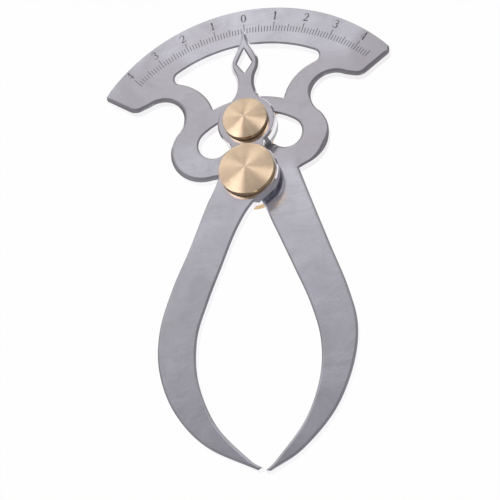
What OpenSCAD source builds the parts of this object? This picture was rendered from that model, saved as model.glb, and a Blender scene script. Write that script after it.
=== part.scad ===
// Inside caliper with a two-sided scale, a swinging pointer leg and a lock knob.
// It lies on its back: the face of the scale looks along +Z, the zero of the scale lies
// along +Y, and the origin is on the pivot axis, at the back of the pivot nut.

/* [Plates] */
// Thickness of the two flat steel arms
plate_t = 2; // [1.6:0.1:2.4]
// Gap between the two arms, filled by the spacers
gap_t = 1.3; // [1:0.1:1.8]
// Play left in the gap, so that the front arm can swing
swing_play = 0.05; // [0.03:0.01:0.1]

/* [Scale sector] */
// Radius of the outer edge of the scale
scale_r = 34.3; // [34:0.1:35]
// Height of that edge's centre above the pivot axis
scale_centre_y = 2.4; // [2:0.1:2.6]
// Radius of the upper edge of the window under the scale
window_r = 26.4; // [26:0.1:27]
// Radius of the concave lower edges of the window
window_side_r = 9.7; // [9.5:0.1:9.8]
// Radius of the rounded upper corners of the window
window_corner_r = 1.3; // [0.8:0.1:1.5]
// Half width of the scale, from the zero to a wing tip
wing_x = 27.4; // [27:0.1:28]

/* [Hub of the rear arm] */
// Radius of the top of the hub
hub_r = 17.4; // [17:0.1:17.6]
// Radius of the two lobes beside the pivot
lobe_r = 6.75; // [6.7:0.05:6.85]
// Radius of the scoop between a wing and its lobe
scoop_r = 4.35; // [4.1:0.05:4.5]
// Radius of the boss round the pivot
boss_r = 4.6; // [4.4:0.1:5]

/* [Lock slot] */
// Radius of the slot's centre line about the pivot
slot_path_r = 11.05; // [10.95:0.05:11.15]
// Half width of the slot
slot_half_w = 3; // [2.85:0.05:3.05]
// Angle from the zero to the centre of each round slot end
slot_end_angle = 38.5; // [38:0.5:39.5]

/* [Front arm] */
// Radius of the disc under the pivot knob
pivot_disc_r = 5.6; // [5.3:0.1:5.8]
// Distance from the pivot axis to the lock screw
clamp_y = 10.5; // [10.4:0.05:10.7]
// Radius of the disc under the lock knob
clamp_disc_r = 5.45; // [5.2:0.05:5.6]
// Half width of the waist between the two discs
waist_half_w = 3.2; // [2.8:0.1:3.6]
// Distance from the pivot axis to the tip of the pointer
pointer_y = 30.1; // [29.5:0.1:30.5]
// Angle of the pointer from the zero with the tips closed
pointer_lead = -1; // [-1.5:0.5:0]

/* [Pivot] */
// Radius of the turned knob over the pivot
pivot_knob_r = 5.12; // [4.8:0.02:5.3]
// Height of the pivot knob's rim
pivot_knob_h = 1.15; // [1.1:0.05:1.6]
// Radius of the stud's shoulder, on which the front arm turns
pivot_shoulder_r = 2.2; // [2:0.05:2.5]
// Radius of the studs' threaded ends
thread_r = 1.5; // [1.4:0.05:1.6]
// Radius of the round nut at the back of the pivot
pivot_nut_r = 4.1; // [4:0.1:4.3]
// Thickness of both round nuts
nut_t = 2.2; // [2:0.1:2.6]

/* [Lock] */
// Radius of the turned lock knob
clamp_knob_r = 4.14; // [3.9:0.02:4.4]
// Height of the lock knob's rim
clamp_knob_h = 1.05; // [1.05:0.05:1.8]
// Radius of the nut that slides behind the slot
clamp_nut_r = 3.5; // [3.4:0.1:4.2]
// Radius of the collar that runs in the slot
collar_r = 1.9; // [1.8:0.05:2]

/* [Turned parts] */
// Height of the shallow cone turned on each knob's face
knob_cone_h = 0.7; // [0.4:0.05:0.9]
// Width of the chamfer round each knob's rim
knob_chamfer = 0.06; // [0.04:0.01:0.2]
// Thickness of the thin washers under the knobs
washer_t = 0.15; // [0.1:0.05:0.25]
// Thickness of the washers between the nuts and the rear arm
back_washer_t = 0.2; // [0.15:0.05:0.3]
// Running clearance of a shaft in its hole, on the radius
running_fit = 0.05; // [0.03:0.01:0.08]

/* [Hidden] */
$fn = 96;

steel = [0.70, 0.69, 0.73];
brass = [0.86, 0.71, 0.47];

// Heights of the stack, from the nut's back upward
rear_z = nut_t + back_washer_t;
gap_z = rear_z + plate_t;
front_z = gap_z + gap_t;
knob_washer_z = front_z + plate_t;
knob_z = knob_washer_z + washer_t;

// Depth of the blind threads in the nuts and knobs
nut_thread = nut_t - 0.7;
pivot_thread = pivot_knob_h - 0.05;
clamp_thread = clamp_knob_h - 0.05;

// Centres of the round forms of the rear arm, which is filed by hand and not quite even
right_lobe = [8.05, 7.9];
left_lobe = [-8.5, 7.9];
right_scoop = [16.2, 15.36];
left_scoop = [-16.77, 15.23];
window_side_centre = [16.2, 13.6];
// Lower edge of the hub, just above the bottom of the lobes
hub_low_y = right_lobe.y - lobe_r + 0.1;
// Inner corner where the right lobe runs down into the leg
right_root = [8.7, 0.8];
// Middle of the two wings, a little left of the pivot
wing_middle_x = -0.2;

// Lower edge of the scale, from the hub past the scoop to a wing tip: x, y and corner radius
wing_outline = [
    [16, 12.4, 0],
    [17.8, 19.32, 0],
    [21.75, 17.97, 2.5],
    [wing_x, 22, 1],
    [wing_x, 40, 0]
];

// Edges of the right leg, which belongs to the rear arm, from the hub to the tip
rear_outer = [
    [8.2, 3],
    [11.2, -7.5],
    [13.7, -16],
    [16.1, -24.1],
    [17.3, -31.5],
    [15.95, -39],
    [12.25, -46.6],
    [6.2, -52.8],
    [0.5, -55.9]
];
rear_inner = [
    [1.4, -4.1],
    [4.3, -12],
    [6.8, -19],
    [9.2, -26],
    [10.6, -33],
    [10.05, -40],
    [7.1, -47.4],
    [1.9, -53.7],
    [-0.3, -55.7]
];

// Edges of the left leg, which belongs to the front arm, from the disc to the tip
front_outer = [
    [-5.58, -0.5],
    [-8.5, -7],
    [-11.4, -13.9],
    [-14.7, -21],
    [-17.3, -28.8],
    [-17.6, -36.6],
    [-15.1, -44.5],
    [-9.7, -51.4],
    [-0.9, -56.7]
];
front_inner = [
    [4.48, -3.36],
    [0.3, -6.9],
    [-2.7, -11.6],
    [-5.6, -18.2],
    [-8.4, -24.8],
    [-10.6, -31.5],
    [-10.65, -39.5],
    [-7.8, -47.8],
    [-2.5, -54.4],
    [-0.2, -56.3]
];

// Right edge of the pointer from the lock disc to the tip, as distances from its own axis
pointer_edge = [
    [2.9, clamp_y + 4.6],
    [2.15, 16.4],
    [1.68, 18.2],
    [1.83, 20.1],
    [2.48, 21.8],
    [2.58, 23.6],
    [1.88, 25.4],
    [0.95, 27.4],
    [0.12, pointer_y]
];

// Half of the pointer's diamond window, from its lower to its upper corner
diamond_low_y = 20.75;
diamond_wide_y = 22.9;
diamond_high_y = 26;
diamond_half_w = 1.45;

// Part of a circle's circumference, as points
function arc(centre, r, from, to, steps) = [
    for (i = [0:steps])
        let (a = from + (to - from) * i / steps)
            centre + r * [cos(a), sin(a)]
];

// Smooth curve through a few points, with a given number of steps from each to the next
function curve(p, steps) = [
    for (i = [0:len(p) - 2])
        for (k = [0:steps - 1])
            let (
                a = i > 0 ? p[i - 1] : 2 * p[0] - p[1],
                d = i < len(p) - 2 ? p[i + 2] : 2 * p[i + 1] - p[i],
                t = k / steps
            )
                (2 * p[i] + (p[i + 1] - a) * t
                    + (2 * a - 5 * p[i] + 4 * p[i + 1] - d) * t ^ 2
                    + (3 * p[i] - a - 3 * p[i + 1] + d) * t ^ 3) / 2
];

function reversed(p) = [for (i = [len(p) - 1:-1:0]) p[i]];

// Outline made of a path on the right side and its mirror image
function mirrored(p) = concat(p, reversed([for (q = p) [-q.x, q.y]]));

// Path without the points that repeat the one before
function distinct(p) = [
    for (i = [0:len(p) - 1])
        if (i == 0 || norm(p[i] - p[max(i - 1, 0)]) > 0.01) p[i]
];

// Direction of a point seen from a centre
function bearing(centre, p) = atan2(p.y - centre.y, p.x - centre.x);

// Point where two circles meet, on the left on the way from the first centre to the second
function meet(c0, r0, c1, r1) =
    let (
        span = norm(c1 - c0),
        unit = (c1 - c0) / span,
        along = (span ^ 2 + r0 ^ 2 - r1 ^ 2) / (2 * span)
    )
        c0 + along * unit + sqrt(r0 ^ 2 - along ^ 2) * [-unit.y, unit.x];

// Corner of an outline, rounded where its third value is a radius
function corner(a, b, c, r) =
    let (
        u = (a - b) / norm(a - b),
        v = (c - b) / norm(c - b),
        half = acos(u * v) / 2,
        m = b + (u + v) / norm(u + v) * r / sin(half),
        p = b + u * r / tan(half) - m,
        q = b + v * r / tan(half) - m,
        a0 = atan2(p.y, p.x),
        turn = atan2(q.y, q.x) - a0,
        sweep = turn > 180 ? turn - 360 : turn < -180 ? turn + 360 : turn
    )
        arc(m, r, a0, a0 + sweep, 10);

function rounded(p) = [
    for (i = [0:len(p) - 1])
        let (
            n = len(p),
            a = p[(i + n - 1) % n],
            b = p[i],
            c = p[(i + 1) % n]
        )
            each b[2] == 0
                ? [[b.x, b.y]]
                : corner([a.x, a.y], [b.x, b.y], [c.x, c.y], b[2])
];

// Leg between its outer and inner edges, closed by a blunt tip and by its root in the hub
module leg(outer, inner, root) {
    last_out = outer[len(outer) - 1];
    last_in = inner[len(inner) - 1];
    polygon(concat(
        curve(outer, 8),
        [last_out, last_in],
        reversed(curve(inner, 8)),
        root
    ));
}

// Each outline given, made into a sheet of one thickness
module sheet(z, t) {
    translate([0, 0, z])
        for (i = [0:$children - 1])
            linear_extrude(t) children(i);
}

// Right half of the window under the scale: hub, concave side, round corner and top edge
function window_path() =
    let (
        hub = [0, 0],
        side = window_side_centre,
        top = [0, scale_centre_y],
        small = window_corner_r,
        foot = meet(hub, hub_r, side, window_side_r),
        turn = meet(top, window_r - small, side, window_side_r + small),
        top_bearing = bearing(top, turn),
        side_bearing = bearing(side, turn)
    )
        distinct(concat(
            arc(hub, hub_r, 88, bearing(hub, foot), 8),
            arc(side, window_side_r, bearing(side, foot), side_bearing, 14),
            arc(turn, small, side_bearing - 180, top_bearing, 8),
            arc(top, window_r, top_bearing, 89, 20)
        ));

// Right half of the arc-shaped slot in which the lock screw travels
function slot_path() =
    let (
        hub = [0, 0],
        end_bearing = 90 - slot_end_angle,
        end_centre = slot_path_r * [cos(end_bearing), sin(end_bearing)]
    )
        distinct(concat(
            arc(hub, slot_path_r + slot_half_w, 89, end_bearing, 16),
            arc(end_centre, slot_half_w, end_bearing, end_bearing - 180, 16),
            arc(hub, slot_path_r - slot_half_w, end_bearing, 88, 12)
        ));

// Scale, wings, neck and hub, with the lobes, the boss and the right leg
module rear_arm_solid() {
    sheet(rear_z, plate_t) {
        intersection() {
            translate([0, scale_centre_y]) circle(r = scale_r, $fn = 240);
            translate([wing_middle_x, 0]) polygon(mirrored(rounded(wing_outline)));
        }
        intersection() {
            circle(r = hub_r, $fn = 160);
            translate([left_lobe.x, hub_low_y]) square([right_lobe.x - left_lobe.x, 20]);
        }
        translate(right_lobe) circle(r = lobe_r);
        translate(left_lobe) circle(r = lobe_r);
        polygon([
            right_lobe,
            right_lobe + lobe_r * [cos(-59), sin(-59)],
            right_root,
            [6, 2.4]
        ]);
        circle(r = boss_r);
        leg(rear_outer, rear_inner, [[0, -1], [0, 3]]);
    }
}

// Steel plate with the scale, the slot and the right leg
module rear_arm() {
    color(steel) difference() {
        rear_arm_solid();
        sheet(rear_z - 1, plate_t + 2) {
            polygon(mirrored(window_path()));
            polygon(mirrored(slot_path()));
            translate(right_scoop) circle(r = scoop_r);
            translate(left_scoop) circle(r = scoop_r);
            circle(r = pivot_shoulder_r);
        }
    }
}

function turned(p, a) = [p.x * cos(a) - p.y * sin(a), p.x * sin(a) + p.y * cos(a)];

// One side of the front arm, from a point of the pivot disc over the waist and the lock disc
// to the tip of the pointer
function head_side(start) =
    let (
        lower = [0, 0],
        upper = [0, clamp_y],
        foot = [waist_half_w, sqrt(pivot_disc_r ^ 2 - waist_half_w ^ 2)],
        turn = [waist_half_w, clamp_y - sqrt(clamp_disc_r ^ 2 - waist_half_w ^ 2)]
    )
        concat(
            arc(lower, pivot_disc_r, start, bearing(lower, foot), 24),
            arc(upper, clamp_disc_r, bearing(upper, turn), bearing(upper, pointer_edge[0]) - 4, 30),
            curve(pointer_edge, 5),
            [pointer_edge[len(pointer_edge) - 1]]
        );

// Whole outline of the front arm: right side, left side, and the leg's two edges
function front_outline() =
    concat(
        [for (p = head_side(-33)) turned(p, pointer_lead)],
        reversed([for (p = head_side(0)) turned([-p.x, p.y], pointer_lead)]),
        curve(front_outer, 8),
        [front_outer[len(front_outer) - 1], front_inner[len(front_inner) - 1]],
        reversed(curve(front_inner, 8))
    );

// Steel plate with the pointer, the two discs and the left leg
module front_arm() {
    color(steel) difference() {
        sheet(front_z, plate_t) polygon(front_outline());
        rotate(pointer_lead) sheet(front_z - 1, plate_t + 2) polygon([
            [0, diamond_low_y],
            [diamond_half_w, diamond_wide_y],
            [0, diamond_high_y],
            [-diamond_half_w, diamond_wide_y]
        ]);
        translate([0, 0, front_z - 1]) {
            cylinder(r = pivot_shoulder_r + running_fit, h = plate_t + 2);
            at_clamp() cylinder(r = thread_r, h = plate_t + 2);
        }
    }
}

// Places a piece on the axis of the lock screw
module at_clamp() {
    rotate(pointer_lead) translate([0, clamp_y]) children();
}

module washer(outer_r, hole_r, z, t) {
    translate([0, 0, z]) difference() {
        cylinder(r = outer_r, h = t);
        translate([0, 0, -1]) cylinder(r = hole_r, h = t + 2);
    }
}

// Round nut with a closed back and a blind thread
module round_nut(r) {
    difference() {
        rotate_extrude() polygon([
            [0, 0],
            [r - 0.25, 0],
            [r, 0.25],
            [r, nut_t],
            [0, nut_t]
        ]);
        translate([0, 0, nut_t - nut_thread]) cylinder(r = thread_r, h = nut_thread + 1);
    }
}

// Turned knob: chamfered rim, face raised to a shallow cone, blind thread below
module turned_knob(r, rim_h, thread, hole_r) {
    difference() {
        rotate_extrude() polygon([
            [0, 0],
            [r - knob_chamfer, 0],
            [r, knob_chamfer],
            [r, rim_h - knob_chamfer],
            [r - knob_chamfer, rim_h],
            [0, rim_h + knob_cone_h]
        ]);
        translate([0, 0, -1]) cylinder(r = hole_r, h = thread + 1);
    }
}

// Shouldered stud, fast in the rear arm, on which the front arm and knob turn
module pivot_stud() {
    shoulder_h = knob_washer_z - rear_z - 0.02;
    color(steel) {
        translate([0, 0, rear_z]) cylinder(r = pivot_shoulder_r, h = shoulder_h);
        translate([0, 0, nut_t - nut_thread]) cylinder(r = thread_r, h = nut_thread + 1);
        translate([0, 0, rear_z + 1])
            cylinder(r = thread_r, h = knob_z + pivot_thread - 0.1 - rear_z - 1);
    }
}

module pivot_nut() {
    color(brass) round_nut(pivot_nut_r);
}

module pivot_back_washer() {
    color(steel) washer(3.5, thread_r, nut_t, back_washer_t);
}

// Spacer that keeps the two arms apart at the pivot, clear of the one at the lock
module pivot_spacer() {
    color(steel) washer(pivot_disc_r - 0.65, pivot_shoulder_r, gap_z, gap_t - swing_play);
}

module pivot_washer() {
    color(steel) washer(4.4, thread_r + running_fit, knob_washer_z, washer_t);
}

module pivot_knob() {
    color(brass) translate([0, 0, knob_z])
        turned_knob(pivot_knob_r, pivot_knob_h, pivot_thread, thread_r + running_fit);
}

// Stud of the lock, fast in the front arm, running through the slot
module clamp_stud() {
    bottom = nut_t - nut_thread;
    color(steel) at_clamp() translate([0, 0, bottom])
        cylinder(r = thread_r, h = knob_z + clamp_thread - 0.1 - bottom);
}

module clamp_nut() {
    color(brass) at_clamp() round_nut(clamp_nut_r);
}

module clamp_back_washer() {
    color(steel) at_clamp()
        washer(clamp_nut_r - 0.3, thread_r, nut_t, back_washer_t - swing_play);
}

// Collar that guides the stud along the slot
module clamp_collar() {
    color(steel) at_clamp()
        washer(collar_r, thread_r, nut_t + back_washer_t - swing_play, plate_t + 2 * swing_play);
}

// Spacer between the arms, almost of the size of the disc above it
module clamp_spacer() {
    color(steel) at_clamp()
        washer(clamp_disc_r - 0.15, thread_r, gap_z + swing_play, gap_t - swing_play);
}

module clamp_washer() {
    color(steel) at_clamp()
        washer(3.5, thread_r + running_fit, knob_washer_z, washer_t);
}

module clamp_knob() {
    color(brass) at_clamp() translate([0, 0, knob_z])
        turned_knob(clamp_knob_r, clamp_knob_h, clamp_thread, thread_r + running_fit);
}

rear_arm();
front_arm();
pivot_stud();
pivot_nut();
pivot_back_washer();
pivot_spacer();
pivot_washer();
pivot_knob();
clamp_stud();
clamp_nut();
clamp_back_washer();
clamp_collar();
clamp_spacer();
clamp_washer();
clamp_knob();
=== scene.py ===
"""Looks of an inside caliper: two steel arms, an engraved scale and turned brass fittings."""

import math

import bmesh
import bpy
import numpy as np
from mathutils import Euler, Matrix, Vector
from mathutils.geometry import delaunay_2d_cdt


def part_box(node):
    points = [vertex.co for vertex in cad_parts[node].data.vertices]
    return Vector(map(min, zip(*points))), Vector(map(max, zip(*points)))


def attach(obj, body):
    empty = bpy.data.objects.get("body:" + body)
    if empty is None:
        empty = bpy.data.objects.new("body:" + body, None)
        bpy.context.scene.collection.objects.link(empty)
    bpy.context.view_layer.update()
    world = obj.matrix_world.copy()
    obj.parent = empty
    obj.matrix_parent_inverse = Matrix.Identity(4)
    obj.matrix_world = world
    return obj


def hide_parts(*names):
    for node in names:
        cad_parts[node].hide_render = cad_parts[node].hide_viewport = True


MM = 0.001

# Camera of the photograph
CAMERA_PLACE = (0.062818, -0.155872, 0.286135)
CAMERA_TURN = (25.4852, 14.0776, -2.7621)
CAMERA_LENS = 129.6
CAMERA_SENSOR = 36.0
CAMERA_NEAR = 0.01

# White floor: half its width in metres, its colour and paper grain, and the share of its own
# light that a viewer sees
FLOOR_REACH = 1.5
FLOOR_COLOUR = (0.80, 0.80, 0.80, 1.0)
PAPER_SCALE = 800.0
FLOOR_GLOW = 0.985

# Plates
REAR_TOP = 4.4 * MM

# Worn front edges: width of the curved part and of the flat outer part in millimetres, and
# the steepest slope in degrees
EDGES = {
    "arc": (0.15, 0.02, 50),
    "filed": (0.85, 0.02, 42),
    "neck_left": (0.40, 0.25, 34),
    "neck_right": (0.25, 0.02, 40),
    "leg_left": (0.40, 0.02, 30),
    "leg_right": (0.50, 0.02, 27),
    "disc": (0.12, 0.20, 58),
    "pointer_left": (0.25, 0.40, 58),
    "pointer_right": (0.30, 0.25, 45),
    "hole": (0.38, 0.02, 40),
    "bore": (0.10, 0.02, 45),
    "back": (0.25, 0.03, 55),
    "back_hole": (0.10, 0.02, 45),
}

# Points blended on each side of a change of kind, rows of points over an edge, and the
# shares of the free room that an edge may take
EDGE_BLEND = 4
EDGE_STEPS = 7
EDGE_ROOM = 0.93
HOLE_ROOM = 0.85
NO_LIMIT = 1.0
TINY = 1e-9
WELD_PRECISION = 1e-6

# Steps along the outlines, grids of points on the faces, and what tells a bore from a cut-out
OUTLINE_STEP = 0.40 * MM
SHORTEST_STEP = 0.18 * MM
FRONT_GRID = 0.50 * MM
BACK_GRID = 1.20 * MM
GRID_CLEARANCE = 0.3
FACING_UP = 0.99
WIDEST_BORE = 5.0 * MM
BORE_ROUNDNESS = 0.05 * MM

# Places along the arms where the kind of edge changes, in millimetres
LEG_TOP, LEG_TOP_RIGHT = 1.0, 3.0
ARC_REACH = 27.0
POINTER_FOOT, DISC_FOOT = 15.5, -3.5
ARC_TILT, FILED_TILT = 0.2, -0.15

# Turned parts
PART_ROUND = 0.04 * MM
MERGE = 0.002 * MM
SHARP_ANGLE = math.radians(28)
FLAT_ANGLE = math.radians(0.2)

# Scale marks, as radii from the pivot axis
MARK_STEP = math.radians(1.019)
MARKS_LEFT = 40
MARKS_RIGHT = 45
MARK_FOOT = 31.4 * MM
MARK_HEAD = {"fine": 32.6 * MM, "half": 33.0 * MM, "whole": 33.5 * MM}
MARK_WIDTH = {"fine": 0.14 * MM, "half": 0.15 * MM, "whole": 0.16 * MM}
MARK_RISE = 0.012 * MM
MARK_SINK = 0.03 * MM
DIGIT_FOOT = 34.0 * MM
DIGIT_HEIGHT = 1.7 * MM
DIGIT_WIDTH = 1.05 * MM
DIGIT_BOLD = 1.1
WHOLE_EVERY = 10
HIGHEST_NUMBER = 4

# Scales of the patterns are in repeats a metre. A side share multiplies the roughness on the
# sides of a part.

# Polished steel, and the turn and scale of each set of hairlines
STEEL_DARK = (0.79, 0.765, 0.825, 1.0)
STEEL_PALE = (0.93, 0.912, 0.985, 1.0)
STEEL_RUBBED = (0.83, 0.80, 0.83, 1.0)
STEEL_SCRATCHED = (0.93, 0.925, 0.935, 1.0)
STEEL_ROUGHNESS = (0.15, 0.22)
STEEL_SIDE_SHARE = 0.45
CLOUD_SCALE = 140.0
BROAD_SCALE = 28.0
SPECK_SCALE = 5200.0
STREAK_SCALE, STREAK_TURN = (70.0, 420.0, 70.0), 0.6
GRAIN_SCALE, GRAIN_TURN = (260.0, 9000.0, 260.0), 0.32
SCRATCHES = [(0.9, 520.0), (-0.5, 430.0)]
SCRATCH_STRETCH = (0.12, 6.0)
SCRATCH_WIDTH = 0.035
SCRATCH_PATCHES = 240.0

# Darker spots painted into the steel's colour, in millimetres: middle, half width, half
# height, strength
DARKER_SPOTS = [
    (8.0, 14.0, 20.0, 11.0, 0.70),
    (-17.0, 22.0, 9.0, 7.0, 0.45),
    (25.0, 23.0, 5.0, 5.0, 0.70),
    (12.5, 2.5, 4.5, 5.0, 0.70),
]
DARKER_TONE = (0.645, 0.608, 0.645, 1.0)

# Painted highlight: the plates' sides and steep edges pale towards white, a painted
# reflection of the white floor
SIDE_SHEEN_TONE = (0.99, 0.985, 0.99, 1.0)

# Brass, the tarnish on it, and the deeper gold painted on its sides as shade
BRASS_DARK = (0.95, 0.71, 0.48, 1.0)
BRASS_PALE = (0.99, 0.77, 0.56, 1.0)
BRASS_TARNISH = (0.70, 0.50, 0.33, 1.0)
BRASS_SIDE_SHADE = (0.58, 0.38, 0.17, 1.0)
BRASS_ROUGHNESS = (0.28, 0.34)
BRASS_SIDE_SHARE = 0.35
BRASS_STAINS = 420.0

# Bare steel of the small parts, and a dark steel whose colour is painted shade for the spacer
# and washers in the gaps between parts
HARDWARE_PALE = (0.50, 0.495, 0.51, 1.0)
HARDWARE_DARK = (0.34, 0.33, 0.34, 1.0)
GAP_SHADE_PALE = (0.50, 0.53, 0.59, 1.0)
GAP_SHADE_DARK = (0.16, 0.18, 0.24, 1.0)
HARDWARE_ROUGHNESS = (0.24, 0.36)
HARDWARE_STAINS = 700.0

# Rings left by the lathe
FINE_RINGS, COARSE_RINGS = 9000.0, 2400.0

# Filling of the marks, which is worn pale towards the left end of the scale
FILL_DARK = (0.33, 0.32, 0.335, 1.0)
FILL_PALE = (0.54, 0.53, 0.55, 1.0)
FILL_WORN = (0.72, 0.71, 0.74, 1.0)
FILL_METALLIC, FILL_ROUGHNESS = 0.35, 0.5
FILL_PATCHES = 900.0
WORN_FROM, WORN_TO = -16.0 * MM, -2.0 * MM

# Turning centres
PIVOT_AXIS = (0.0, 0.0)
CLAMP_AXIS = (0.1833 * MM, 10.4984 * MM)

# Brightness of the surroundings, by the sine of the height above the horizon: a big soft
# box behind the caliper, and darker elsewhere
BACK_SKY = [
    (0.0, 0.45), (0.25, 0.60), (0.45, 0.75), (0.70, 0.73), (0.80, 0.71), (0.848, 0.70),
    (0.875, 0.655), (0.90, 0.50), (0.912, 0.36), (0.92, 0.29), (1.0, 0.25),
]
SIDE_SKY = [
    (0.0, 0.30), (0.30, 0.31), (0.55, 0.34), (0.75, 0.38), (0.85, 0.38), (0.93, 0.32),
    (1.0, 0.28),
]

# The ceiling is a little bluer than the horizon
SKY_BLUE = 0.10
SKY_BLUE_POWER = 8

# Way to the soft box, and the cosines between which it fades
BACK_WAY = (-0.30, 0.954, 0.0)
BACK_EDGE_COSINES = (0.64, 0.93)

# Way across the caliper, along which the surroundings dim: cosines, then strengths
BRIGHT_SIDEWAYS = (0.949, 0.314, 0.0)
BRIGHT_FALL = (0.0, 0.16, 1.15, 0.70)

# Lamps: name, azimuth and elevation in degrees, distance and size in metres, power in watts
LAMPS = [
    ("lamp_right", 14.0, 58.0, 0.8, 0.42, 1.02),
    ("lamp_left", -176.0, 58.0, 0.8, 0.42, 1.24),
    ("lamp_back", 132.0, 42.0, 0.8, 0.60, 0.62),
]

# Pieces that the lamps pick out, so that the turned rings gleam and the steel edges stay dark
BRASS = ["pivot_nut", "pivot_knob", "clamp_nut", "clamp_knob"]

# Digits as pen strokes in a cell one wide and one high: (x, y, pen width)
DIGITS = {
    0: [
        [
            (0.50, 1.00, 0.08), (0.24, 0.88, 0.18), (0.14, 0.66, 0.26), (0.12, 0.50, 0.27),
            (0.14, 0.34, 0.26), (0.24, 0.12, 0.18), (0.50, 0.00, 0.08), (0.76, 0.12, 0.18),
            (0.86, 0.34, 0.26), (0.88, 0.50, 0.27), (0.86, 0.66, 0.26), (0.76, 0.88, 0.18),
            (0.50, 1.00, 0.08),
        ],
    ],
    1: [
        [(0.26, 0.84, 0.08), (0.42, 0.92, 0.14), (0.50, 1.00, 0.20)],
        [(0.52, 1.00, 0.24), (0.52, 0.00, 0.24)],
        [(0.24, 0.02, 0.08), (0.80, 0.02, 0.08)],
    ],
    2: [
        [
            (0.12, 0.74, 0.18), (0.20, 0.90, 0.14), (0.44, 1.00, 0.10), (0.72, 0.92, 0.18),
            (0.84, 0.72, 0.26), (0.76, 0.52, 0.22), (0.48, 0.28, 0.14), (0.12, 0.06, 0.12),
        ],
        [(0.10, 0.06, 0.16), (0.50, 0.05, 0.20), (0.90, 0.08, 0.16), (0.94, 0.24, 0.08)],
    ],
    3: [
        [
            (0.14, 0.82, 0.14), (0.28, 0.96, 0.12), (0.50, 1.00, 0.10), (0.74, 0.90, 0.20),
            (0.80, 0.74, 0.24), (0.68, 0.58, 0.16), (0.42, 0.52, 0.08),
        ],
        [
            (0.42, 0.52, 0.08), (0.74, 0.46, 0.18), (0.88, 0.28, 0.26), (0.76, 0.08, 0.20),
            (0.48, 0.00, 0.10), (0.22, 0.04, 0.12), (0.10, 0.18, 0.16),
        ],
    ],
    4: [
        [(0.66, 1.00, 0.10), (0.36, 0.64, 0.08), (0.06, 0.28, 0.09), (0.96, 0.28, 0.09)],
        [(0.68, 1.00, 0.22), (0.68, 0.00, 0.24)],
        [(0.48, 0.02, 0.08), (0.90, 0.02, 0.08)],
    ],
}

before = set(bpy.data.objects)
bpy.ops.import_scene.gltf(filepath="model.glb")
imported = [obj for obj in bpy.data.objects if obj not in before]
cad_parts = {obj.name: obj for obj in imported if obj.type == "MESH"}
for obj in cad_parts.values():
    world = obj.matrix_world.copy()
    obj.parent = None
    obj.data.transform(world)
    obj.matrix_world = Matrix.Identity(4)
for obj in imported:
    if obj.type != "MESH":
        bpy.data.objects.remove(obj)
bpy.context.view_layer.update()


# Node helpers

def new_material(name):
    """An empty node material, its node tree and its output."""
    material = bpy.data.materials.new(name)
    material.use_nodes = True
    tree = material.node_tree
    tree.nodes.clear()
    return material, tree, tree.nodes.new("ShaderNodeOutputMaterial")


def node(tree, kind, inputs=None, **settings):
    """A node with its settings and its inputs, which are values or other nodes' outputs."""
    made = tree.nodes.new(kind)
    for key, value in settings.items():
        setattr(made, key, value)
    for key, value in (inputs or {}).items():
        if isinstance(value, bpy.types.NodeSocket):
            tree.links.new(value, made.inputs[key])
        else:
            made.inputs[key].default_value = value
    return made


def maths(tree, operation, a, b=0.5, c=0.5):
    """Output of a Math node."""
    return node(tree, "ShaderNodeMath", {0: a, 1: b, 2: c}, operation=operation).outputs[0]


def vectors(tree, operation, a, b=(0.0, 0.0, 0.0), out="Vector"):
    """Output of a Vector Math node."""
    return node(tree, "ShaderNodeVectorMath", {0: a, 1: b}, operation=operation).outputs[out]


def noise(tree, vector, scale, detail=3.0, rough=0.5, distort=0.0):
    """Output of a Noise texture."""
    made = node(
        tree, "ShaderNodeTexNoise",
        {"Vector": vector, "Scale": scale, "Detail": detail, "Roughness": rough,
         "Distortion": distort},
    )
    return made.outputs["Fac"]


def spread(tree, value, low_in, high_in, low_out, high_out, smooth=False):
    """Output of a Map Range node, which is clamped."""
    made = node(
        tree, "ShaderNodeMapRange",
        {"Value": value, "From Min": low_in, "From Max": high_in, "To Min": low_out,
         "To Max": high_out},
        interpolation_type="SMOOTHSTEP" if smooth else "LINEAR",
    )
    return made.outputs[0]


def mixed(tree, factor, a, b):
    """Output of a colour mix."""
    made = node(tree, "ShaderNodeMix", data_type="RGBA")
    for key, value in (("Factor_Float", factor), ("A_Color", a), ("B_Color", b)):
        socket = next(s for s in made.inputs if s.identifier == key)
        if isinstance(value, bpy.types.NodeSocket):
            tree.links.new(value, socket)
        else:
            socket.default_value = value
    return next(s for s in made.outputs if s.identifier == "Result_Color")


def bumped(tree, height, strength, distance, normal=None):
    """Output of a Bump node."""
    inputs = {"Height": height, "Strength": strength, "Distance": distance}
    if normal is not None:
        inputs["Normal"] = normal
    return node(tree, "ShaderNodeBump", inputs).outputs[0]


def object_place(tree, scale=(1.0, 1.0, 1.0), turn=(0.0, 0.0, 0.0), centre=(0.0, 0.0, 0.0)):
    """Place in the part's own frame, moved to a centre, turned and scaled."""
    place = node(tree, "ShaderNodeTexCoord").outputs["Object"]
    moved = vectors(tree, "SUBTRACT", place, centre)
    made = node(
        tree, "ShaderNodeMapping", {"Vector": moved, "Rotation": turn, "Scale": scale}
    )
    return made.outputs[0]


def upward(tree):
    """How far the surface faces up in the part's own frame, from -1 to 1."""
    facing = node(tree, "ShaderNodeTexCoord").outputs["Normal"]
    return node(tree, "ShaderNodeSeparateXYZ", {0: facing}).outputs[2]


# Materials

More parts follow.
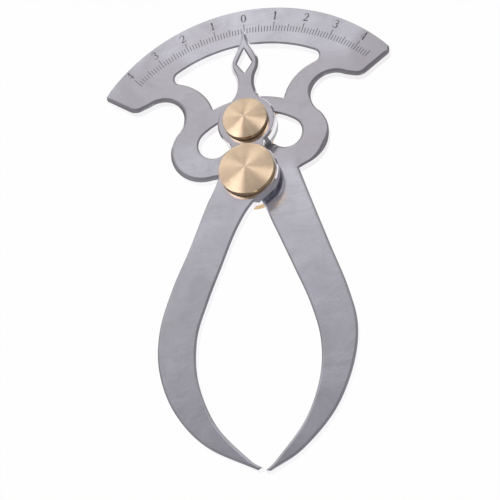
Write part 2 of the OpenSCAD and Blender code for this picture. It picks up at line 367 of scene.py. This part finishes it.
def steel_plate():
    """Polished steel: faint long grain, cloudy tone and gloss, darker spots, hairline
    scratches, and sides paled by a painted reflection.
    """
    material, tree, out = new_material("plate_steel_polished")
    place = object_place(tree)
    clouds = noise(tree, place, CLOUD_SCALE, 4.0, 0.6, 0.6)
    streaks = object_place(tree, STREAK_SCALE, (0, 0, STREAK_TURN))
    rubbed = noise(tree, streaks, 1.0, 3.0, 0.6, 0.4)
    broad = noise(tree, place, BROAD_SCALE, 2.0, 0.5)
    lengthwise = object_place(tree, GRAIN_SCALE, (0, 0, GRAIN_TURN))
    grain = noise(tree, lengthwise, 1.0, 2.0, 0.6)
    specks = noise(tree, place, SPECK_SCALE, 2.0, 0.6)
    scratch_a, scratch_b = (scratches(tree, *kind) for kind in SCRATCHES)
    scratch = maths(tree, "MAXIMUM", scratch_a, scratch_b)
    tone = mixed(
        tree, spread(tree, clouds, 0.35, 0.65, 0.0, 1.0), STEEL_DARK, STEEL_PALE
    )
    tone = mixed(tree, spread(tree, rubbed, 0.52, 0.66, 0.0, 0.55), tone, STEEL_RUBBED)
    for x, y, wide, high, strength in DARKER_SPOTS:
        oval = object_place(
            tree, (1 / (wide * MM), 1 / (high * MM), 0.0), centre=(x * MM, y * MM, 0.0)
        )
        away = vectors(tree, "LENGTH", oval, out="Value")
        darker = spread(tree, away, 0.80, 1.25, strength, 0.0, smooth=True)
        tone = mixed(tree, darker, tone, DARKER_TONE)
    # painted highlight: sides and steep edges are mixed towards near white, a painted
    # reflection of the white floor
    sides = spread(tree, maths(tree, "ABSOLUTE", upward(tree)), 0.05, 0.35, 0.60, 0.0)
    tone = mixed(tree, sides, tone, SIDE_SHEEN_TONE)
    tone = mixed(tree, maths(tree, "MULTIPLY", scratch, 0.35), tone, STEEL_SCRATCHED)
    rough = maths(
        tree, "ADD", spread(tree, broad, 0.3, 0.7, *STEEL_ROUGHNESS),
        spread(tree, specks, 0.3, 0.7, -0.02, 0.03),
    )
    rough = maths(tree, "ADD", rough, maths(tree, "MULTIPLY", scratch, 0.10))
    share = spread(tree, upward(tree), 0.80, 0.99, STEEL_SIDE_SHARE, 1.0)
    rough = maths(tree, "MULTIPLY", rough, share)
    bend = bumped(tree, broad, 0.12, 0.00018)
    bend = bumped(tree, clouds, 0.25, 0.0001, bend)
    bend = bumped(tree, grain, 0.06, 0.00002, bend)
    bend = bumped(tree, scratch, 0.20, 0.00001, bend)
    shader = node(
        tree, "ShaderNodeBsdfPrincipled",
        {"Base Color": tone, "Metallic": 1.0, "Roughness": rough, "Normal": bend},
    )
    tree.links.new(shader.outputs[0], out.inputs[0])
    return material


def scratches(tree, turn, scale):
    """Sparse hairlines along one direction, from 0 to 1."""
    along, across = SCRATCH_STRETCH
    place = object_place(tree, (scale * along, scale * across, scale), (0.0, 0.0, turn))
    cells = node(
        tree, "ShaderNodeTexVoronoi", {"Vector": place, "Scale": 1.0, "Randomness": 1.0},
        feature="DISTANCE_TO_EDGE",
    ).outputs["Distance"]
    lines = spread(tree, cells, 0.0, SCRATCH_WIDTH, 1.0, 0.0)
    patches = noise(tree, object_place(tree), SCRATCH_PATCHES, 2.0)
    where = spread(tree, patches, 0.52, 0.66, 0.0, 1.0)
    return maths(tree, "MULTIPLY", lines, where)


def rings(tree, centre):
    """Fine and coarse uneven rings about a turning centre, from 0 to 1."""
    place = object_place(tree, centre=(centre[0], centre[1], 0.0))
    flat = vectors(tree, "MULTIPLY", place, (1.0, 1.0, 0.0))
    reach = vectors(tree, "LENGTH", flat, out="Value")
    along = node(tree, "ShaderNodeCombineXYZ", {0: reach}).outputs[0]
    fine = noise(tree, along, FINE_RINGS, 3.0, 0.6)
    coarse = noise(tree, along, COARSE_RINGS, 2.0, 0.5)
    return fine, coarse


def turned_brass(name, centre):
    """Turned brass: concentric tool marks that stretch the highlights, faint tarnish, painted
    shade on the sides.
    """
    material, tree, out = new_material(name)
    fine, coarse = rings(tree, centre)
    place = object_place(tree)
    stain = noise(tree, place, BRASS_STAINS, 4.0, 0.6)
    tone = mixed(
        tree, spread(tree, coarse, 0.3, 0.7, 0.0, 1.0), BRASS_DARK, BRASS_PALE
    )
    tone = mixed(tree, spread(tree, stain, 0.50, 0.75, 0.0, 0.25), tone, BRASS_TARNISH)
    # painted shade: the sides are mixed towards a deeper gold, standing for their dark
    # reflections
    sides = spread(tree, upward(tree), 0.05, 0.45, 0.75, 0.0)
    tone = mixed(tree, sides, tone, BRASS_SIDE_SHADE)
    rough = maths(
        tree, "ADD", spread(tree, fine, 0.3, 0.7, *BRASS_ROUGHNESS),
        spread(tree, stain, 0.4, 0.7, 0.0, 0.04),
    )
    share = spread(tree, upward(tree), 0.3, 0.9, BRASS_SIDE_SHARE, 1.0)
    rough = maths(tree, "MULTIPLY", rough, share)
    bend = bumped(tree, fine, 0.05, 0.00001)
    bend = bumped(tree, coarse, 0.06, 0.00002, bend)
    around = node(tree, "ShaderNodeTangent", direction_type="RADIAL", axis="Z").outputs[0]
    shader = node(
        tree, "ShaderNodeBsdfPrincipled",
        {"Base Color": tone, "Metallic": 1.0, "Roughness": rough, "Normal": bend,
         "Anisotropic": 1.0, "Anisotropic Rotation": 0.25, "Tangent": around},
    )
    tree.links.new(shader.outputs[0], out.inputs[0])
    return material


def steel_hardware(name, centre, pale=HARDWARE_PALE, dark=HARDWARE_DARK):
    """Satin turned steel of the studs, washers and spacers."""
    material, tree, out = new_material(name)
    fine, coarse = rings(tree, centre)
    stain = noise(tree, object_place(tree), HARDWARE_STAINS, 3.0, 0.6)
    tone = mixed(tree, spread(tree, stain, 0.35, 0.7, 0.0, 1.0), pale, dark)
    rough = spread(tree, fine, 0.3, 0.7, *HARDWARE_ROUGHNESS)
    bend = bumped(tree, coarse, 0.2, 0.00002)
    shader = node(
        tree, "ShaderNodeBsdfPrincipled",
        {"Base Color": tone, "Metallic": 1.0, "Roughness": rough, "Normal": bend},
    )
    tree.links.new(shader.outputs[0], out.inputs[0])
    return material


def engraving_fill():
    """Dull dark filling of the engraved marks, a little uneven."""
    material, tree, out = new_material("engraving_fill")
    patches = noise(tree, object_place(tree), FILL_PATCHES, 3.0, 0.6)
    tone = mixed(
        tree, spread(tree, patches, 0.35, 0.65, 0.0, 1.0), FILL_DARK, FILL_PALE
    )
    across = node(tree, "ShaderNodeSeparateXYZ", {0: object_place(tree)}).outputs[0]
    worn = spread(tree, across, WORN_FROM, WORN_TO, 0.55, 0.0, smooth=True)
    tone = mixed(tree, worn, tone, FILL_WORN)
    bend = bumped(tree, patches, 0.3, 0.00001)
    shader = node(
        tree, "ShaderNodeBsdfPrincipled",
        {"Base Color": tone, "Metallic": FILL_METALLIC, "Roughness": FILL_ROUGHNESS,
         "Normal": bend},
    )
    tree.links.new(shader.outputs[0], out.inputs[0])
    return material


# Plates with rounded outlines

def unit(rows):
    """Rows of numbers scaled to length one."""
    return rows / np.linalg.norm(rows, axis=1, keepdims=True)


def even_steps(ring):
    """An outline without its shortest steps, and with its long straight runs cut up."""
    kept = [ring[0]]
    for point in ring[1:]:
        if np.linalg.norm(point - kept[-1]) > SHORTEST_STEP:
            kept.append(point)
    ring, points = np.array(kept), []
    for a, b in zip(ring, np.roll(ring, -1, axis=0)):
        pieces = max(1, math.ceil(np.linalg.norm(b - a) / OUTLINE_STEP))
        points += [a + (b - a) * k / pieces for k in range(pieces)]
    return np.array(points)


def face_outlines(mesh):
    """Closed outlines of a plate's front face, metal on their left, the outer one first."""
    solid = bmesh.new()
    solid.from_mesh(mesh)
    bmesh.ops.remove_doubles(solid, verts=solid.verts, dist=MERGE)
    ahead = {}
    for face in solid.faces:
        if face.normal.z < FACING_UP:
            continue
        for corner in face.loops:
            if sum(f.normal.z > FACING_UP for f in corner.edge.link_faces) == 1:
                ahead[corner.vert] = corner.link_loop_next.vert
    outlines = []
    while ahead:
        start, at = ahead.popitem()
        ring = [start.co[:2]]
        while at != start:
            ring.append(at.co[:2])
            at = ahead.pop(at)
        outlines.append(even_steps(np.array(ring)))
    solid.free()
    return sorted(outlines, key=lambda ring: -np.ptp(ring[:, 1]))


def inward(ring):
    """Unit normals of an outline's points, into the metal."""
    run = unit(np.roll(ring, -1, axis=0) - ring) + unit(ring - np.roll(ring, 1, axis=0))
    run = unit(run)
    return np.stack([-run[:, 1], run[:, 0]], axis=1)


def room(ring, ways, holes):
    """How far an outline's points can move inward before they meet the far side or a hole."""
    away = ring[None] - ring[:, None]
    reach = np.einsum("ijk,ik->ij", away, ways)
    ball = (away ** 2).sum(2) / (2 * np.maximum(reach, TINY))
    limit = EDGE_ROOM * np.where(reach > TINY, ball, NO_LIMIT).min(axis=1)
    for hole in holes:
        gap = np.linalg.norm(hole[None] - ring[:, None], axis=2).min(axis=1)
        limit = np.minimum(limit, HOLE_ROOM * gap)
    return limit


def far_from(points, ring):
    """Distance of points from an outline."""
    run = np.roll(ring, -1, axis=0) - ring
    part = ((points[:, None] - ring) * run).sum(2) / (run ** 2).sum(1)
    near = ring + np.clip(part, 0, 1)[..., None] * run
    return np.linalg.norm(near - points[:, None], axis=2).min(axis=1)


def in_metal(points, rings):
    """Which points lie inside the outer outline and outside the holes."""
    hits = np.zeros(len(points), bool)
    x, y = points[:, :1], points[:, 1:]
    for ring in rings:
        (ax, ay), (bx, by) = ring.T, np.roll(ring, -1, axis=0).T
        rise = np.where(by == ay, 1.0, by - ay)
        crossed = ((ay > y) != (by > y)) & (x < ax + (y - ay) * (bx - ax) / rise)
        hits ^= crossed.sum(axis=1) % 2 == 1
    return hits


def grid_points(rings, spacing):
    """A grid of points in the metal, away from the edges."""
    low, high = rings[0].min(axis=0), rings[0].max(axis=0)
    x, y = np.meshgrid(*(np.arange(low[k] + spacing / 2, high[k], spacing) for k in (0, 1)))
    x[1::2] += spacing / 2
    points = np.stack([x.ravel(), y.ravel()], axis=1)
    points = points[in_metal(points, rings)]
    for ring in rings:
        points = points[far_from(points, ring) > GRID_CLEARANCE * spacing]
    return points


def rear_edge(place, out):
    """Kind of edge of the rear arm at a place, by the way it looks outward."""
    x, y = place / MM
    if y < LEG_TOP or (x > 0 and y < LEG_TOP_RIGHT):
        return "leg_left" if out[0] < 0 else "leg_right"
    if math.hypot(x, y) > ARC_REACH and out[1] > ARC_TILT:
        return "arc"
    if out[1] < FILED_TILT:
        return "filed"
    return "neck_left" if out[0] < 0 else "neck_right"


def front_edge(place, out):
    """Kind of edge of the front arm at a place, by the way it looks outward."""
    y = place[1] / MM
    if y > POINTER_FOOT:
        return "pointer_left" if out[0] < 0 else "pointer_right"
    if y > DISC_FOOT:
        return "disc"
    return "leg_left" if out[0] < 0 else "leg_right"


def edge_values(names):
    """Curved width, flat width and steepest angle of named kinds of edge."""
    return np.array([EDGES[name] for name in names]) * (MM, MM, math.radians(1))


def edge_shape(ring, ways, kinds):
    """Values of the worn front edge along an outline, blended between its kinds."""
    shape = edge_values([kinds(place, -way) for place, way in zip(ring, ways)])
    reach = range(-EDGE_BLEND, EDGE_BLEND + 1)
    return sum(np.roll(shape, k, axis=0) for k in reach) / len(reach)


def hole_kind(ring):
    """Kind of a hole's front edge: round bores are crisp, cut-outs a little worn."""
    wide, high = np.ptp(ring, axis=0)
    return "bore" if wide < WIDEST_BORE and abs(wide - high) < BORE_ROUNDNESS else "hole"


class Skin:
    """Vertices, faces and normals of a plate while it is built."""

    def __init__(self):
        self.verts, self.normals, self.faces, self.corners = [], [], [], []

    def add(self, points, heights, normals):
        """Adds points and returns the index of the first."""
        start = len(self.verts)
        self.verts += [(x, y, z) for (x, y), z in zip(points, heights)]
        self.normals += [tuple(n) for n in normals]
        return start

    def fill(self, corners, normals=None):
        """Adds a face, with its points' own normals unless others are given."""
        self.faces.append(corners)
        self.corners += normals or [self.normals[c] for c in corners]

    def strip(self, low, high, ways, wall=False):
        """Quads between two closed rows of points, with sideways normals for a wall."""
        count = len(ways)
        for i in range(count):
            j = (i + 1) % count
            out = [(-x, -y, 0.0) for x, y in (ways[i], ways[j], ways[j], ways[i])]
            self.fill((low + i, low + j, high + j, high + i), out if wall else None)

    def worn_edge(self, ring, ways, limit, shape, level, up):
        """Rows of points over a worn edge, from the wall to the face: their first indices."""
        curved, flat, angle = shape.T
        fit = np.minimum(1.0, limit / (curved + flat))
        curved, flat = curved * fit, flat * fit
        radius = curved / np.sin(angle)
        rows, points = [], ring
        for k in range(-1, EDGE_STEPS + 1):
            turn = angle * (1 - max(k, 0) / EDGE_STEPS)
            drop = radius * (1 - np.cos(turn))
            if k < 0:
                drop += flat * np.tan(angle)
            else:
                points = ring + ways * (flat + curved - radius * np.sin(turn))[:, None]
            normals = np.column_stack([-ways * np.sin(turn)[:, None], up * np.cos(turn)])
            rows.append(self.add(points, level - up * drop, normals))
        return rows, points

    def face(self, rings, firsts, spacing, level, up):
        """Fills the face between the innermost rows of points."""
        grid = grid_points(rings, spacing)
        coords = np.concatenate(rings + [grid]) / MM
        index = [first + i for first, ring in zip(firsts, rings) for i in range(len(ring))]
        start = self.add(grid, [level] * len(grid), [(0, 0, up)] * len(grid))
        index += [start + i for i in range(len(grid))]
        edges, offset = [], 0
        for ring in rings:
            n = len(ring)
            edges += [(offset + i, offset + (i + 1) % n) for i in range(n)]
            offset += n
        made = delaunay_2d_cdt([Vector(c) for c in coords], edges, [], 1, WELD_PRECISION)
        places = np.array([v[:] for v in made[0]])
        for spot, source in zip(places, made[3]):
            if not source:
                index.append(self.add([spot * MM], [level], [(0, 0, up)]))
        extra = iter(range(len(coords), len(index)))
        lookup = [index[source[0]] if source else index[next(extra)] for source in made[3]]
        middles = np.array([places[list(f)].mean(axis=0) for f in made[2]]) * MM
        for triangle, metal in zip(made[2], in_metal(middles, rings)):
            if metal:
                a, b, c = (lookup[i] for i in triangle)
                self.fill((a, b, c) if up > 0 else (a, c, b))


def round_plate(name, kinds, material):
    """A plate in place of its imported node: rounded outline, worn cut-outs, flat faces."""
    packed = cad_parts[name]
    low, high = (corner[2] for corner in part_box(name))
    rings = face_outlines(packed.data)
    skin = Skin()
    sides = {1: (high, FRONT_GRID), -1: (low, BACK_GRID)}
    walls = {}
    for up, (level, spacing) in sides.items():
        firsts, inner, walls[up] = [], [], []
        for ring in rings:
            ways = inward(ring)
            outer = ring is rings[0]
            if outer and up > 0:
                shape = edge_shape(ring, ways, kinds)
            elif up > 0:
                shape = edge_values([hole_kind(ring)] * len(ring))
            else:
                shape = edge_values(["back" if outer else "back_hole"] * len(ring))
            limit = room(ring, ways, rings[1:]) if outer else NO_LIMIT
            rows, points = skin.worn_edge(ring, ways, limit, shape, level, up)
            for a, b in zip(rows, rows[1:]):
                skin.strip(*((a, b) if up > 0 else (b, a)), ways)
            walls[up].append(rows[0])
            firsts.append(rows[-1])
            inner.append(points)
        skin.face(inner, firsts, spacing, level, up)
    for back, front, ring in zip(walls[-1], walls[1], rings):
        skin.strip(back, front, inward(ring), wall=True)
    mesh = bpy.data.meshes.new(f"{name}_plate")
    mesh.from_pydata(skin.verts, [], skin.faces)
    mesh.materials.append(material)
    for polygon in mesh.polygons:
        polygon.use_smooth = True
    mesh.normals_split_custom_set(skin.corners)
    piece = bpy.data.objects.new(f"{name}_plate", mesh)
    bpy.context.scene.collection.objects.link(piece)
    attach(piece, name)
    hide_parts(name)
    return piece


# Turned parts

def smooth_node(obj):
    """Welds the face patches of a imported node, rounds its edges and shades it smoothly."""
    mesh = obj.data
    if "custom_normal" in mesh.attributes:
        mesh.attributes.remove(mesh.attributes["custom_normal"])
    for polygon in mesh.polygons:
        polygon.use_smooth = True
    weld = obj.modifiers.new("weld", "WELD")
    weld.merge_threshold = MERGE
    flat = obj.modifiers.new("flat_faces", "DECIMATE")
    flat.decimate_type = "DISSOLVE"
    flat.angle_limit = FLAT_ANGLE
    flat.delimit = set()
    crisp = obj.modifiers.new("crisp_edges", "BEVEL")
    crisp.limit_method = "ANGLE"
    crisp.angle_limit = SHARP_ANGLE
    crisp.width = PART_ROUND
    crisp.segments = 2
    cut = obj.modifiers.new("triangles", "TRIANGULATE")
    cut.min_vertices = 5
    even = obj.modifiers.new("even_normals", "WEIGHTED_NORMAL")
    even.keep_sharp = False


# Engraved marks

def prism(points, low, high):
    """Vertices and faces of a flat outline raised between two heights."""
    n = len(points)
    verts = [(x, y, low) for x, y in points] + [(x, y, high) for x, y in points]
    faces = [tuple(range(n - 1, -1, -1)), tuple(range(n, 2 * n))]
    faces += [(i, (i + 1) % n, n + (i + 1) % n, n + i) for i in range(n)]
    return verts, faces


def turned(points, angle):
    """Points turned clockwise about the pivot axis, as the right-hand numbers run."""
    c, s = math.cos(angle), math.sin(angle)
    return [(x * c + y * s, y * c - x * s) for x, y in points]


def pen_stroke(stroke, cell_w, cell_h):
    """Outline of one stroke whose width follows its points."""
    left, right = [], []
    for i, (x, y, w) in enumerate(stroke):
        ahead = stroke[min(i + 1, len(stroke) - 1)]
        behind = stroke[max(i - 1, 0)]
        run = Vector(((ahead[0] - behind[0]) * cell_w, (ahead[1] - behind[1]) * cell_h))
        side = Vector((-run.y, run.x)).normalized() * w * DIGIT_BOLD * cell_w / 2
        middle = Vector(((x - 0.5) * cell_w, y * cell_h))
        left.append(middle + side)
        right.append(middle - side)
    return left, right


def stroke_quads(stroke, cell_w, cell_h):
    """A stroke as a row of four-sided outlines."""
    left, right = pen_stroke(stroke, cell_w, cell_h)
    quads = zip(right, right[1:], left[1:], left)
    return [[tuple(corner) for corner in quad] for quad in quads]


def scale_marks(material):
    """All ticks and numbers of the scale as one piece on the rear arm."""
    outlines = []
    for step in range(-MARKS_LEFT, MARKS_RIGHT + 1):
        kind = "fine"
        if step % WHOLE_EVERY == 0:
            kind = "whole"
        elif step % (WHOLE_EVERY // 2) == 0:
            kind = "half"
        half, head = MARK_WIDTH[kind] / 2, MARK_HEAD[kind]
        bar = [(-half, MARK_FOOT), (half, MARK_FOOT), (half, head), (-half, head)]
        outlines.append(turned(bar, step * MARK_STEP))
    for number in range(-HIGHEST_NUMBER, HIGHEST_NUMBER + 1):
        for stroke in DIGITS[abs(number)]:
            for quad in stroke_quads(stroke, DIGIT_WIDTH, DIGIT_HEIGHT):
                raised = [(x, y + DIGIT_FOOT) for x, y in quad]
                outlines.append(turned(raised, number * WHOLE_EVERY * MARK_STEP))
    verts, faces = [], []
    for outline in outlines:
        new_verts, new_faces = prism(outline, REAR_TOP - MARK_SINK, REAR_TOP + MARK_RISE)
        faces += [tuple(len(verts) + i for i in face) for face in new_faces]
        verts += new_verts
    mesh = bpy.data.meshes.new("scale_marks")
    mesh.from_pydata(verts, [], faces)
    mesh.materials.append(material)
    piece = bpy.data.objects.new("scale_marks", mesh)
    bpy.context.scene.collection.objects.link(piece)
    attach(piece, "rear_arm")
    return piece


# Surroundings

def add_camera():
    """The camera of the photograph."""
    data = bpy.data.cameras.new("camera")
    data.lens = CAMERA_LENS
    data.sensor_width = CAMERA_SENSOR
    data.clip_start = CAMERA_NEAR
    camera = bpy.data.objects.new("camera", data)
    camera.location = CAMERA_PLACE
    camera.rotation_euler = Euler([math.radians(a) for a in CAMERA_TURN], "XYZ")
    bpy.context.scene.collection.objects.link(camera)
    bpy.context.scene.camera = camera


def seen_directly(tree):
    """1 for camera, glossy and transmission rays, else 0."""
    path = node(tree, "ShaderNodeLightPath").outputs
    total = maths(tree, "ADD", path["Is Camera Ray"], path["Is Glossy Ray"])
    total = maths(tree, "ADD", total, path["Is Transmission Ray"])
    return maths(tree, "MINIMUM", total, 1.0)


def add_floor():
    """A plain white floor that keeps a faint shadow of the caliper."""
    material, tree, out = new_material("floor_white")
    place = node(tree, "ShaderNodeTexCoord").outputs["Object"]
    paper = noise(tree, place, PAPER_SCALE, 3.0, 0.6)
    matt = node(
        tree, "ShaderNodeBsdfDiffuse",
        {"Color": FLOOR_COLOUR, "Normal": bumped(tree, paper, 0.02, 0.00001)},
    ).outputs[0]
    glow = node(
        tree, "ShaderNodeEmission", {"Color": (1.0, 1.0, 1.0, 1.0), "Strength": 1.0}
    ).outputs[0]
    part = maths(tree, "MULTIPLY", seen_directly(tree), FLOOR_GLOW)
    blend = node(tree, "ShaderNodeMixShader", {0: part, 1: matt, 2: glow})
    tree.links.new(blend.outputs[0], out.inputs[0])
    mesh = bpy.data.meshes.new("floor")
    r = FLOOR_REACH
    mesh.from_pydata([(-r, -r, 0), (r, -r, 0), (r, r, 0), (-r, r, 0)], [], [(0, 1, 2, 3)])
    mesh.materials.append(material)
    floor = bpy.data.objects.new("floor", mesh)
    bpy.context.scene.collection.objects.link(floor)


def sky_ramp(tree, height, levels):
    """Grey level by height, a little bluer overhead."""
    ramp = node(tree, "ShaderNodeValToRGB", {0: height})
    marks = ramp.color_ramp.elements
    while len(marks) < len(levels):
        marks.new(0.5)
    for mark, (place, level) in zip(marks, levels):
        mark.position = place
    for mark, (place, level) in zip(marks, levels):
        blue = level * (1.0 + SKY_BLUE * place ** SKY_BLUE_POWER)
        mark.color = (level, level, blue, 1.0)
    return ramp.outputs[0]


def add_world():
    """Soft studio surroundings: a soft box behind, darker sides and ceiling."""
    world = bpy.data.worlds.new("studio")
    bpy.context.scene.world = world
    world.use_nodes = True
    tree = world.node_tree
    tree.nodes.clear()
    out = tree.nodes.new("ShaderNodeOutputWorld")
    way = node(tree, "ShaderNodeTexCoord").outputs["Generated"]
    height = node(tree, "ShaderNodeSeparateXYZ", {0: way}).outputs[2]
    level = vectors(tree, "NORMALIZE", vectors(tree, "MULTIPLY", way, (1.0, 1.0, 0.0)))
    near = vectors(tree, "DOT_PRODUCT", level, BACK_WAY, out="Value")
    behind = spread(tree, near, *BACK_EDGE_COSINES, 0.0, 1.0, smooth=True)
    lit = mixed(
        tree, behind, sky_ramp(tree, height, SIDE_SKY), sky_ramp(tree, height, BACK_SKY)
    )
    aside = vectors(tree, "DOT_PRODUCT", level, BRIGHT_SIDEWAYS, out="Value")
    bright = spread(tree, maths(tree, "ABSOLUTE", aside), *BRIGHT_FALL)
    studio = node(tree, "ShaderNodeBackground", {0: lit, 1: bright}).outputs[0]
    white = node(
        tree, "ShaderNodeBackground", {0: (1.0, 1.0, 1.0, 1.0), 1: 1.0}
    ).outputs[0]
    camera_ray = node(tree, "ShaderNodeLightPath").outputs["Is Camera Ray"]
    blend = node(tree, "ShaderNodeMixShader", {0: camera_ray, 1: studio, 2: white})
    tree.links.new(blend.outputs[0], out.inputs[0])


def add_lamp(name, azimuth, elevation, distance, size, power, lit):
    """A soft square lamp that faces the caliper and lights a set of pieces."""
    data = bpy.data.lights.new(name, "AREA")
    data.size = size
    data.energy = power
    a, e = math.radians(azimuth), math.radians(elevation)
    way = Vector((math.cos(e) * math.cos(a), math.cos(e) * math.sin(a), math.sin(e)))
    lamp = bpy.data.objects.new(name, data)
    lamp.location = way * distance
    lamp.rotation_euler = way.to_track_quat("Z", "Y").to_euler()
    lamp.light_linking.receiver_collection = lit
    bpy.context.scene.collection.objects.link(lamp)


add_camera()
add_floor()
add_world()
brass_pieces = bpy.data.collections.new("brass_pieces")
for name in BRASS:
    brass_pieces.objects.link(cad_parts[name])
for lamp in LAMPS:
    add_lamp(*lamp, brass_pieces)
bpy.context.scene.view_settings.view_transform = "Standard"

plate = steel_plate()
brass_pivot = turned_brass("turned_brass_pivot", PIVOT_AXIS)
brass_clamp = turned_brass("turned_brass_clamp", CLAMP_AXIS)
hard_pivot = steel_hardware("hardware_steel_pivot", PIVOT_AXIS)
hard_clamp = steel_hardware("hardware_steel_clamp", CLAMP_AXIS)
# painted shade: the pivot spacer and the washers get this dark steel so that the gaps under
# the knobs and between the plates look dark
gap_shade_pivot = steel_hardware("steel_gap_shade_pivot", PIVOT_AXIS, GAP_SHADE_PALE, GAP_SHADE_DARK)
gap_shade_clamp = steel_hardware("steel_gap_shade_clamp", CLAMP_AXIS, GAP_SHADE_PALE, GAP_SHADE_DARK)

FINISH = {
    "pivot_stud": hard_pivot,
    "pivot_nut": brass_pivot,
    "pivot_back_washer": hard_pivot,
    "pivot_spacer": gap_shade_pivot,
    "pivot_washer": gap_shade_pivot,
    "pivot_knob": brass_pivot,
    "clamp_stud": hard_clamp,
    "clamp_nut": brass_clamp,
    "clamp_back_washer": hard_clamp,
    "clamp_collar": hard_clamp,
    "clamp_spacer": hard_clamp,
    "clamp_washer": gap_shade_clamp,
    "clamp_knob": brass_clamp,
}

for name, finish in FINISH.items():
    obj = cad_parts[name]
    obj.material_slots[0].material = finish
    smooth_node(obj)

for name, kinds in (("rear_arm", rear_edge), ("front_arm", front_edge)):
    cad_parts[name].material_slots[0].material = plate
    round_plate(name, kinds, plate)

scale_marks(engraving_fill())
